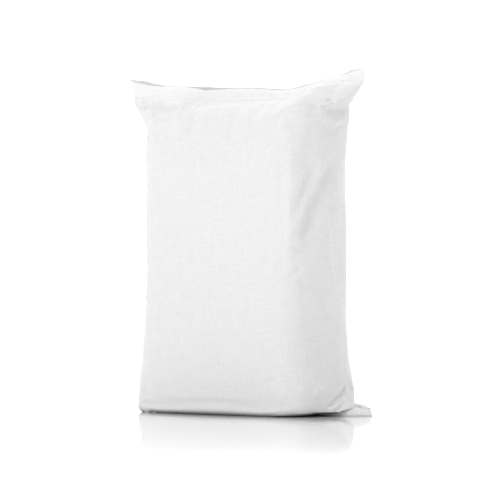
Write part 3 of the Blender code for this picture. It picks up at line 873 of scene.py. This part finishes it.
# The folds that the photograph shows, each with its path over the fabric and then its valley, ridge and
# ends as stroke() takes them, in millimetres. A valley of negative depth is a raised edge
FOLDS = (
    # The long fold down the right side, from under the shoulder to the front corner, and its shallow twin
    (((204, 3, 477), (205, -3, 456), (204, -11, 434), (200, -24, 409), (195, -38, 382), (189, -51, 348),
      (184, -58, 325), (179, -64, 310)), (10, 12), (5, 23, 10), (0.3, 0.2)),
    (((196, -34, 459), (191, -42, 437), (185, -57, 405), (175, -68, 373), (165, -78, 341)),
     (4.4, 8.5), (2.8, 17, 9), (0.35, 0.3)),
    # The front corner's edge beside them, and the hollow between it and the long fold
    (((160, -82, 500), (166, -82, 450), (165, -82, 390), (163, -83, 330), (161, -83, 262)), (-2.8, 9),
     (0, 10, 5), (0.3, 0.25)),
    (((187, -58, 482), (188, -54, 450), (186, -58, 400), (182, -62, 350)), (2.6, 13), (0, 10, 5),
     (0.35, 0.4)),
    # The pinch that runs back from the long fold's middle, round the back corner
    (((198, -19, 362), (201, -7, 373), (204, 10, 377), (203, 34, 376), (196, 66, 374)), (3, 4),
     (1.5, -9, 5), (0.3, 0.3)),
    # Short kinks on the two front corners
    (((181, -58, 268), (176, -69, 262), (168, -76, 255), (159, -81, 246)), (3.2, 5), (1.9, -9, 5),
     (0.4, 0.4)),
    (((186, -53, 294), (177, -68, 298), (165, -78, 303)), (2.8, 4), (1.7, 8, 5), (0.4, 0.4)),
    (((176, -67, 216), (182, -57, 227), (187, -45, 232)), (2.4, 4), (1.5, 8, 5), (0.4, 0.4)),
    (((-193, -50, 203), (-180, -66, 201), (-145, -86, 195)), (2, 5), (1.4, -9, 5), (0.3, 0.4)),
    (((-192, -56, 268), (-174, -71, 265), (-152, -84, 250)), (1.8, 5), (1.2, -9, 5), (0.3, 0.4)),
    (((-192, -56, 414), (-174, -71, 409), (-140, -86, 399)), (1.8, 5), (1.2, -9, 5), (0.3, 0.4)),
    # Where the bottom ear leaves the sack's right side
    (((207, -32, 14), (208, -22, 19), (211, -8, 27), (211, 8, 35), (210, 22, 41)), (3.6, 3.2),
     (1.8, 7, 4), (0.3, 0.25)),
    (((209, -20, 18), (211, -8, 22), (211, 3, 27)), (2.4, 2.6), (1, 5, 3), (0.35, 0.35)),
    # The tuck under the hem on the left, and the edge of the shoulder below it
    (((-237, -15, 565), (-215, -24, 563), (-187, -41, 563), (-173, -40, 565), (-163, -35, 568),
      (-141, -41, 566)), (4.6, 4.5), (3.2, -9, 6), (0.15, 0.4)),
    (((-197, -43, 530), (-175, -58, 523), (-135, -77, 523), (-98, -80, 524), (-86, -75, 534),
      (-66, -67, 544)), (-2.8, 8), (-1.6, 20, 12), (0.3, 0.4)),
    # The right ear: its upper edge, the roll along its lower edge with the groove under it, the dimple
    # where that starts, and the facets between them
    (((154, -67, 559), (162, -62, 561), (177, -51, 571), (186, -38, 578), (199, -26, 587), (210, -14, 594),
      (228, -7, 597)), (-2.6, 4.5), (0, 10, 5), (0.25, 0.25)),
    (((217, -23, 559), (228, -23, 564), (235, -17, 568), (242, -11, 573), (249, -8, 579)), (-3.4, 3),
     (-3.4, 6, 3), (0.2, 0.2)),
    (((211, -33, 569), (216, -32, 565), (217, -25, 560)), (3.8, 4), (1.2, -9, 5), (0.35, 0.35)),
    (((190, -28, 589), (201, -28, 585), (213, -26, 580), (224, -24, 576)), (2.4, 3), (1.5, 7, 4),
     (0.3, 0.3)),
    (((221, -20, 584), (233, -17, 584), (244, -14, 585)), (-1.5, 2.5), (-1, 6, 3), (0.3, 0.3)),
    # Soft folds that hang from the stitching down the front
    (((-72, -54, 558), (-63, -82, 517), (-72, -89, 462), (-79, -91, 389)),
     (2.1, 8), (1.5, 16, 9), (0.2, 0.6)),
    (((-22, -61, 556), (-16, -85, 506), (-25, -92, 443), (-39, -92, 362)),
     (2.2, 8), (1.5, 16, 9), (0.2, 0.6)),
    (((25, -58, 557), (34, -88, 505), (24, -92, 433), (3, -93, 343)),
     (2.4, 8), (1.7, 17, 9), (0.2, 0.6)),
    (((74, -56, 558), (86, -90, 513), (76, -92, 451), (60, -92, 361)),
     (2.1, 8), (1.5, 16, 9), (0.2, 0.6)),
    (((115, -57, 557), (129, -87, 512), (122, -90, 459), (118, -91, 387)),
     (2.2, 8), (1.7, 17, 9), (0.2, 0.6)),
    # Folds of the same kinds on the left side and the back, which the photograph does not show
    (((-204, 2, 480), (-203, 12, 440), (-198, 30, 400), (-186, 56, 345)),
     (4.5, 7), (3, -15, 9), (0.3, 0.25)),
    (((-186, 58, 240), (-192, 44, 228), (-202, 14, 222)), (2.2, 5), (1.2, 10, 6), (0.35, 0.4)),
    (((186, 58, 300), (176, 70, 288), (150, 86, 262)), (2.4, 6), (1.4, -11, 6), (0.35, 0.4)),
    (((96, 56, 557), (102, 88, 505), (92, 92, 440), (86, 93, 350)),
     (1.5, 8), (1.1, 17, 9), (0.2, 0.6)),
    (((20, 58, 556), (26, 88, 505), (14, 92, 440), (2, 93, 372)),
     (1.4, 8), (1, 16, 9), (0.2, 0.6)),
    (((-62, 56, 556), (-70, 88, 508), (-80, 92, 440), (-84, 93, 360)),
     (1.5, 8), (1.1, 17, 9), (0.2, 0.6)),
)


def crease_folds(grid, turns):
    """Presses the folds, the gathers at the stitching and the tube's creases into the draped fabric."""
    normal = outward(grid)
    x, z = grid[..., 0], grid[..., 2]
    rows = np.linspace(0, 1, len(grid))
    moved = sum(stroke(grid, normal, *fold) for fold in FOLDS)
    below_seam = grid[-1:, :, 2] - z
    gathers = np.exp(-below_seam / (28 * MM)) * smooth(below_seam, 0, 6 * MM)
    moved += GATHER_HEIGHT * gathers * ripple(rows, turns, (6, 150), 3)
    hanging = smooth(z, 0.30, 0.50) * smooth(below_seam, 0, 25 * MM)
    moved += WAVE_HEIGHT * hanging * ripple(rows, turns, (4, 64), 5)
    filled = smooth(z, 0.02, 0.10) * smooth(below_seam, 0, 40 * MM)
    moved += HOLLOW_DEPTH * filled * ripple(rows, turns, (16, 26), 8)
    ear = smooth(np.abs(x), 0.205, 0.225) * smooth(below_seam, 0, 10 * MM)
    crumpled = 0.4 * ear * (1 - smooth(z, 0.03, 0.08)) + 0.5 * ear * smooth(z, 0.53, 0.56)
    moved += CRUMPLE_HEIGHT * crumpled * ripple(rows, turns, (60, 70), 13)
    from_right = np.abs(turns - 1) * 0.5
    edge = np.maximum(1 - from_right / (2.4 * MM), 0)[None]
    moved += CREASE_EDGE * (edge * smooth(z, 0.05, 0.12) * (1 - smooth(z, 0.36, 0.378)))
    keep = smooth(np.minimum(np.arange(len(grid)), len(grid) - 1 - np.arange(len(grid))), 0, 3)
    return grid + normal * (moved * keep[:, None])[..., None]


def stretch_over_ears(grid, turns):
    """Pulls the fabric smooth where it leaves the sack's side for a bottom ear, and lets it droop in front
    of the hem there. The seam and the body stay put, and so do the creases until the last passes."""
    low = grid[:EAR_ROWS]
    across, height = np.abs(low[..., 1] - ear_back(low[..., 0])), low[..., 2]
    loose = smooth(np.abs(low[..., 0]), 0.188, 0.202) * (1 - smooth(height, 0.030, 0.046))
    loose *= (1 - smooth(across, 0.070, 0.092)) * smooth(np.arange(EAR_ROWS), 0, 2)[:, None]
    beside_crease = smooth(np.abs(turns - np.round(turns)), 0.0, 0.012)
    side = np.where(turns < 1, -1.0, 1.0)[None]
    near_sack = 1 - smooth(np.abs(low[..., 0]), 0.212, 0.245)
    for left in range(EAR_PASSES, 0, -1):
        around = np.roll(low, 1, 1) + np.roll(low, -1, 1) + np.roll(low, 1, 0) + np.roll(low, -1, 0)
        around *= 0.25
        if left > CREASE_PASSES:
            around[..., 0] += EAR_DROOP[0] * np.sign(low[..., 0]) * near_sack
            around[..., 1] += EAR_DROOP[0] * side * near_sack
            around[..., 2] -= EAR_DROOP[1] * near_sack
        share = 0.9 * loose * (beside_crease if left > CREASE_PASSES else 1)
        low = mix(low, around, share[..., None])
        floor = mix(8 * MM, 3 * MM, smooth(np.abs(low[..., 0]), 0.22, 0.27))
        low[..., 2] = np.where(loose > 0.5, np.maximum(low[..., 2], floor), low[..., 2])
    return np.concatenate((low, grid[EAR_ROWS:]))


def soften_stitching(grid, seam):
    """Rounds the valley along the top stitching, where the fabric pads it out. The ears' tips stay thin."""
    rows = np.arange(len(grid))
    near = np.maximum(1 - np.abs(rows - seam) / PADDED_ROWS, 0)[:, None]
    padded = 1 - smooth(np.abs(grid[seam, :, 0]), 0.215, 0.250)
    share = 0.8 * near * padded[None]
    for _ in range(PADDING_PASSES):
        around = grid.copy()
        around[1:-1] = 0.5 * (grid[:-2] + grid[2:])
        grid = mix(grid, around, share[..., None])
    return grid


def map_fabric(piece, distances, turns, flat_width):
    """Lays the fabric's map out flat: across the tube and up its length, in fabric measure."""
    data = piece.data
    layer = data.uv_layers.new(name=MAP_NAME)
    columns = len(turns)
    across = np.append(turns, 2.0) * flat_width + MAP_MARGIN
    up = np.array(distances) + MAP_MARGIN
    cap_height = up[-1] + MAP_MARGIN
    coordinates = np.zeros((len(data.loops), 2))
    for face in data.polygons:
        vertices = np.array(face.vertices)
        row, column = vertices // columns, vertices % columns
        if row.max() == row.min():
            # A slit's face: its front edge lies along one line and its back edge along another
            base = cap_height + (SLITS_APART if row[0] else 0)
            mirrored = column > columns // 2
            place = np.where(mirrored, columns - column, column)
            on_map = (across[place], base + np.where(mirrored, SLIT_ON_MAP, 0))
        else:
            if column.max() - column.min() > 1:
                column = np.where(column == 0, columns, column)
            on_map = (across[column], up[row])
        coordinates[face.loop_start : face.loop_start + len(vertices)] = np.stack(on_map, -1)
    layer.data.foreach_set("uv", (coordinates / MAP_SPAN).ravel())


class SACK_OT_fabric(bpy.types.Operator):
    """Makes the filled tube of woven fabric with both its hems"""

    bl_idname = "sack.fabric"
    bl_label = "Filled sack"

    def execute(self, context):
        settings = context.scene.sack
        coarse, coarse_up = start_grid(DRAPE_ROW_STEP, DRAPE_COLUMNS)
        draped = drape(coarse)
        turns = fine_turns()
        up = np.linspace(0, coarse_up[-1], round(coarse_up[-1] / FINE_ROW_STEP) + 1)
        rows = up / coarse_up[-1] * (len(coarse_up) - 1)
        body = sample_grid(draped, rows, turns * DRAPE_COLUMNS, THROUGH)
        hem = bottom_hem_rows(body[0])
        lips = lip_rows(body[-1])
        body = crease_folds(stretch_over_ears(curl_ears(body), turns), turns)
        body[..., 2] = np.maximum(body[..., 2], 0)
        grid = np.concatenate((curl_ears(np.stack(hem)), body, np.stack(lips)))
        grid = soften_stitching(grid, len(hem) + len(body) - 1)
        hem_up = np.linspace(0, HEM_SPAN, len(hem) + 1)[:-1]
        lip_steps = np.linalg.norm(np.diff(grid[-len(lips) - 1 :, len(turns) // 4], axis=0), axis=1)
        distances = np.concatenate((hem_up, HEM_SPAN + up, HEM_SPAN + up[-1] + np.cumsum(lip_steps)))
        faces = grid_faces(len(grid), len(turns))
        faces += [f[::-1] for f in close_slit(len(turns), 0)]
        faces += close_slit(len(turns), (len(grid) - 1) * len(turns))
        piece = mesh_object("sack_fabric", grid.reshape(-1, 3), faces)
        map_fabric(piece, distances, turns, settings.flat_width)
        piece.data.shade_smooth()
        lip_edge = distances[len(hem) + len(body) + LIP_EDGE_ROW]
        seams = [(height + MAP_MARGIN) / MAP_SPAN for height in (HEM_SPAN, HEM_SPAN + up[-1], lip_edge)]
        fabric = woven_polypropylene(context.scene.sack_weave, settings.flat_width, seams)
        piece.data.materials.append(fabric)
        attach(piece, "root")
        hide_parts("filled_sack")
        return {"FINISHED"}


class SACK_OT_seams(bpy.types.Operator):
    """Sews both hems with a thread that dips through the fabric at every stitch"""

    bl_idname = "sack.seams"
    bl_label = "Seam threads"

    def execute(self, context):
        weave = context.scene.sack_weave
        thread = polyester_thread(weave)
        fabric = bpy.data.objects["sack_fabric"].data
        points = np.empty(3 * len(fabric.vertices))
        fabric.vertices.foreach_get("co", points)
        grid = points.reshape(-1, len(fine_turns()), 3)
        top = len(grid) - 1 - LIP_ROW_COUNT
        seams = {"top_seam_thread": grid[top], "bottom_seam_thread": grid[HEM_ROW_COUNT]}
        for name, row in seams.items():
            piece = sewn_thread(name.replace("thread", "stitches"), row, weave.stitch_length)
            piece.data.materials.append(thread)
            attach(piece, "root")
            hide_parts(name)
        return {"FINISHED"}


class SACK_OT_studio(bpy.types.Operator):
    """Makes the floor, the light and the camera"""

    bl_idname = "sack.studio"
    bl_label = "Studio"

    def execute(self, context):
        studio = context.scene.sack_studio
        make_floor(studio)
        light_room(studio)
        make_camera(context.scene)
        return {"FINISHED"}


# The camera stands level with the sack's middle, to the right of its front
CAMERA_AZIMUTH = math.radians(38)
CAMERA_DISTANCE = 6.5
CAMERA_LENS = 256
CAMERA_HEIGHT = 298 * MM
CAMERA_SIDESTEP = 8.8 * MM

# The floor: its gloss and where that fades out, away from the sack's middle, and where the painted contact
# shadow round the sack fades out. The shadow's zone is wider along the sack, so the distances along X count
# for less
FLOOR_HALF_SIZE = 12.0
GLOSS = 0.85
GLOSS_FROM, GLOSS_TO = 0.2, 1.4
SHADOW_ZONE = (0.62, 1.0, 1.0)
SHADOW_FROM, SHADOW_TO = 0.08, 0.20

# The soft lights: each one's width and height, how far it stands to the camera's right, in front of the
# sack and above the floor, and the height that it is aimed at
KEY_LIGHT = ((2.2, 2.2), (-1.7, 1.6, 0.25), 0.2)
RIM_LIGHT = ((1.2, 1.6), (2.2, -0.9, 0.4), 0.3)


def camera_axes():
    """The level directions to the camera's right and from the sack to the camera."""
    right = Vector((math.cos(CAMERA_AZIMUTH), math.sin(CAMERA_AZIMUTH), 0))
    towards = Vector((math.sin(CAMERA_AZIMUTH), -math.cos(CAMERA_AZIMUTH), 0))
    return right, towards


def make_camera(scene):
    right, towards = camera_axes()
    target = right * CAMERA_SIDESTEP + Vector((0, 0, CAMERA_HEIGHT))
    data = bpy.data.cameras.new("camera")
    data.lens = CAMERA_LENS
    data.sensor_width = 36
    camera = bpy.data.objects.new("camera", data)
    camera.location = target + towards * CAMERA_DISTANCE
    camera.rotation_euler = (-towards).to_track_quat("-Z", "Y").to_euler()
    scene.collection.objects.link(camera)
    scene.camera = camera
    scene.view_settings.view_transform = "Standard"
    scene.view_settings.look = "None"


def make_floor(studio):
    """A satin white acrylic sheet: it mirrors the sack's foot faintly, and less the further off it looks.
    Round the sack it is painted grey, a painted contact shadow."""
    half = FLOOR_HALF_SIZE
    corners = [(-half, -half, 0), (half, -half, 0), (half, half, 0), (-half, half, 0)]
    floor = mesh_object("studio_floor", corners, [(0, 1, 2, 3)])
    material, tree, shader = new_material("satin_white_acrylic")
    place = add_node(tree, "ShaderNodeTexCoord").outputs["Object"]
    away = add_node(tree, "ShaderNodeVectorMath", {0: place}, operation="LENGTH").outputs["Value"]
    gloss = add_node(
        tree,
        "ShaderNodeMapRange",
        {"Value": away, "From Min": GLOSS_FROM, "From Max": GLOSS_TO, "To Min": GLOSS, "To Max": 0.0},
        interpolation_type="SMOOTHERSTEP",
    )
    tree.links.new(gloss.outputs[0], shader.inputs["Specular IOR Level"])
    zone = add_node(tree, "ShaderNodeVectorMath", {0: place, 1: SHADOW_ZONE}, operation="MULTIPLY")
    away = add_node(tree, "ShaderNodeVectorMath", {0: zone}, operation="LENGTH").outputs["Value"]
    # Painted contact shadow: the floor is grey by the sack and fades to its own colour further off
    unshadowed = add_node(
        tree,
        "ShaderNodeMapRange",
        {"Value": away, "From Min": SHADOW_FROM, "From Max": SHADOW_TO, "To Min": 0.0, "To Max": 1.0},
        interpolation_type="SMOOTHSTEP",
    )
    colour = add_node(
        tree,
        "ShaderNodeMix",
        {"Factor": unshadowed, "A": linear(studio.painted_shadow_colour), "B": linear(studio.floor_colour)},
        data_type="RGBA",
    )
    tree.links.new(colour.outputs["Result"], shader.inputs["Base Color"])
    shader.inputs["Roughness"].default_value = 0.08
    shader.inputs["IOR"].default_value = 1.49
    floor.data.materials.append(material)


def soft_light(name, power, size, place, aim_height):
    """A soft rectangle of light, aimed at the sack."""
    right, towards = camera_axes()
    data = bpy.data.lights.new(name, "AREA")
    data.shape = "RECTANGLE"
    data.size, data.size_y = size
    data.energy = power
    light = bpy.data.objects.new(name, data)
    light.location = right * place[0] + towards * place[1] + Vector((0, 0, place[2]))
    aim = Vector((0, 0, aim_height)) - light.location
    light.rotation_euler = aim.to_track_quat("-Z", "Y").to_euler()
    bpy.context.scene.collection.objects.link(light)


def light_room(studio):
    """A white room that is brightest behind the sack, with one large soft light from the front left and a
    small one from behind the right side."""
    towards = camera_axes()[1]
    world = bpy.data.worlds.new("white_room")
    world.use_nodes = True
    bpy.context.scene.world = world
    tree = world.node_tree
    tree.nodes.clear()
    place = add_node(tree, "ShaderNodeTexCoord").outputs["Generated"]
    away = add_node(tree, "ShaderNodeVectorMath", {0: place, 1: tuple(-towards)}, operation="DOT_PRODUCT")
    height = add_node(tree, "ShaderNodeSeparateXYZ", {0: place}).outputs["Z"]
    lights = []
    for value, low, high, at_low, at_high in (
        (away.outputs["Value"], 0.1, 0.9, studio.room_light, studio.backdrop_light),
        (height, 0.45, 1.0, 0.0, studio.ceiling_light),
    ):
        ramp = {"Value": value, "From Min": low, "From Max": high, "To Min": at_low, "To Max": at_high}
        lights.append(add_node(tree, "ShaderNodeMapRange", ramp, interpolation_type="SMOOTHSTEP"))
    total = add_node(tree, "ShaderNodeMath", {0: lights[0], 1: lights[1]}, operation="ADD")
    background = add_node(tree, "ShaderNodeBackground", {"Strength": total, "Color": (1, 1, 1, 1)})
    add_node(tree, "ShaderNodeOutputWorld", {"Surface": background})
    soft_light("soft_key", studio.key_power, *KEY_LIGHT)
    soft_light("soft_rim", studio.rim_power, *RIM_LIGHT)


class SACK_PT_panel(bpy.types.Panel):
    """Lists the sack's pieces and their settings"""

    bl_label = "Cement sack"
    bl_idname = "SACK_PT_panel"
    bl_space_type = "VIEW_3D"
    bl_region_type = "UI"
    bl_category = "Cement sack"

    def draw(self, context):
        for group, operator in PANEL_ROWS:
            box = self.layout.box()
            settings = getattr(context.scene, group)
            for name in settings.bl_rna.properties.keys():
                if name not in ("rna_type", "name"):
                    box.prop(settings, name)
            box.operator(operator)


PANEL_ROWS = (("sack", "sack.fabric"), ("sack_weave", "sack.seams"), ("sack_studio", "sack.studio"))
SETTINGS = {"sack": SackSettings, "sack_weave": WeaveSettings, "sack_studio": StudioSettings}
CLASSES = (*SETTINGS.values(), SACK_OT_fabric, SACK_OT_seams, SACK_OT_studio, SACK_PT_panel)


def register():
    for kind in CLASSES:
        bpy.utils.register_class(kind)
    for name, kind in SETTINGS.items():
        setattr(bpy.types.Scene, name, bpy.props.PointerProperty(type=kind))


def unregister():
    for name in SETTINGS:
        delattr(bpy.types.Scene, name)
    for kind in reversed(CLASSES):
        bpy.utils.unregister_class(kind)


def main():
    register()
    bpy.ops.sack.studio()
    bpy.ops.sack.fabric()
    bpy.ops.sack.seams()


if __name__ == "__main__":
    main()
